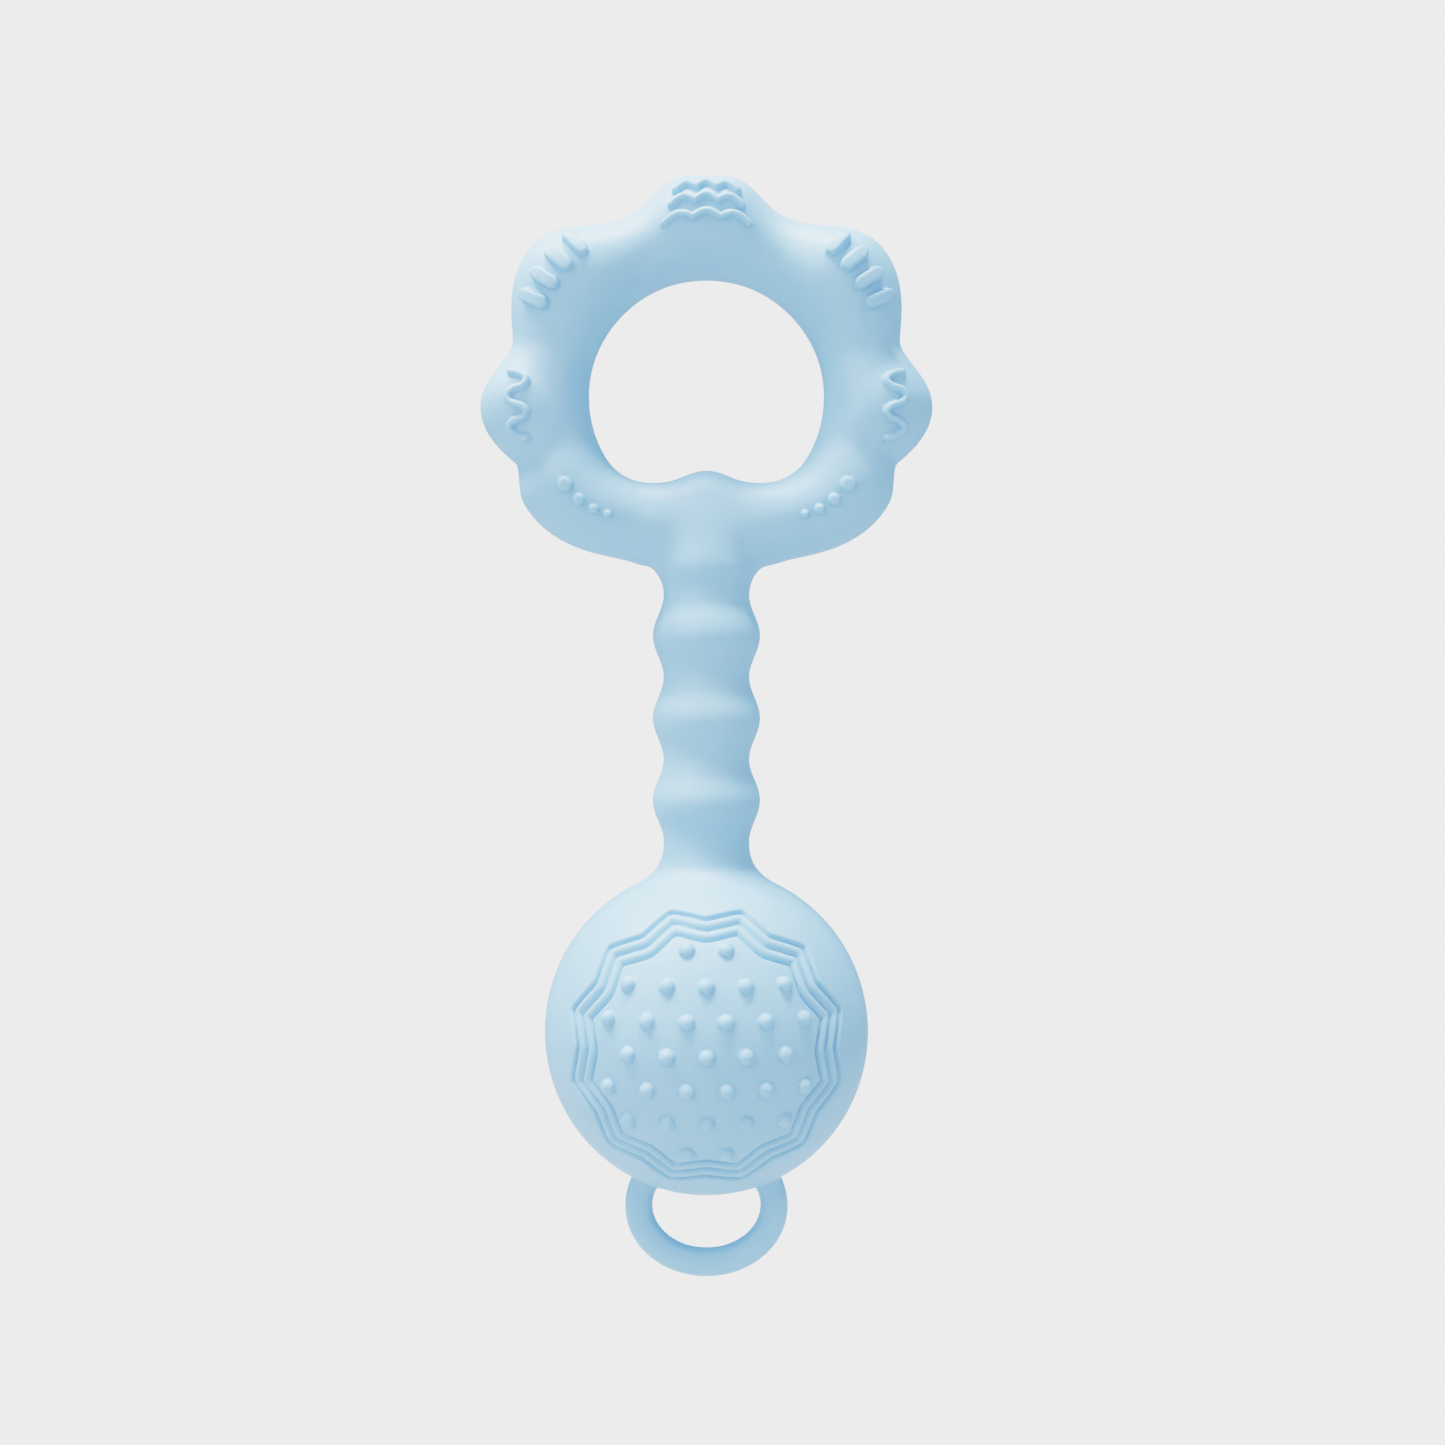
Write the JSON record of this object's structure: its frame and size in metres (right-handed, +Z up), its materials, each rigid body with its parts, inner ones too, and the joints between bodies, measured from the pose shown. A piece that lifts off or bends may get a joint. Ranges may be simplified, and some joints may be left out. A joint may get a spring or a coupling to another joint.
{
  "type": "rattle teether",
  "caption": "Silicone rattle teether: lobed biting ring with relief textures, ribbed grip, nubbed ball over a sealed rattle capsule with loose beads, and a strap loop.",
  "frame": {"origin": "middle of the ribbed grip, on its axis", "axes": "+Z up along the grip's axis from the ball to the biting ring, -Y the front face with the nubs, +X to the right seen from the front"},
  "size_m": [0.0672, 0.0502, 0.1646],
  "materials": {
    "silicone": "satin pale blue food-grade silicone",
    "capsule": "natural white moulded polypropylene",
    "bead": "ivory moulded plastic"
  },
  "bodies": {
    "teether": {"silicone_body": "silicone", "rear_cover": "silicone", "rattle_capsule_front": "capsule", "rattle_capsule_rear": "capsule"},
    "bead_centre": {"rattle_bead_centre": "bead"},
    "bead_1": {"rattle_bead_1": "bead"},
    "bead_2": {"rattle_bead_2": "bead"},
    "bead_3": {"rattle_bead_3": "bead"},
    "bead_4": {"rattle_bead_4": "bead"},
    "bead_5": {"rattle_bead_5": "bead"},
    "bead_6": {"rattle_bead_6": "bead"}
  },
  "joints": [
    {"name": "bead_centre_bounce", "type": "slide", "parent": "teether", "child": "bead_centre", "axis": [0, 0, 1], "range_m": [0, 0.0301]},
    {"name": "bead_1_bounce", "type": "slide", "parent": "teether", "child": "bead_1", "axis": [0, 0, 1], "range_m": [0, 0.0265]},
    {"name": "bead_2_bounce", "type": "slide", "parent": "teether", "child": "bead_2", "axis": [0, 0, 1], "range_m": [0, 0.0265]},
    {"name": "bead_3_bounce", "type": "slide", "parent": "teether", "child": "bead_3", "axis": [0, 0, 1], "range_m": [0, 0.0265]},
    {"name": "bead_4_bounce", "type": "slide", "parent": "teether", "child": "bead_4", "axis": [0, 0, 1], "range_m": [0, 0.0265]},
    {"name": "bead_5_bounce", "type": "slide", "parent": "teether", "child": "bead_5", "axis": [0, 0, 1], "range_m": [0, 0.0265]},
    {"name": "bead_6_bounce", "type": "slide", "parent": "teether", "child": "bead_6", "axis": [0, 0, 1], "range_m": [0, 0.0265]}
  ]
}
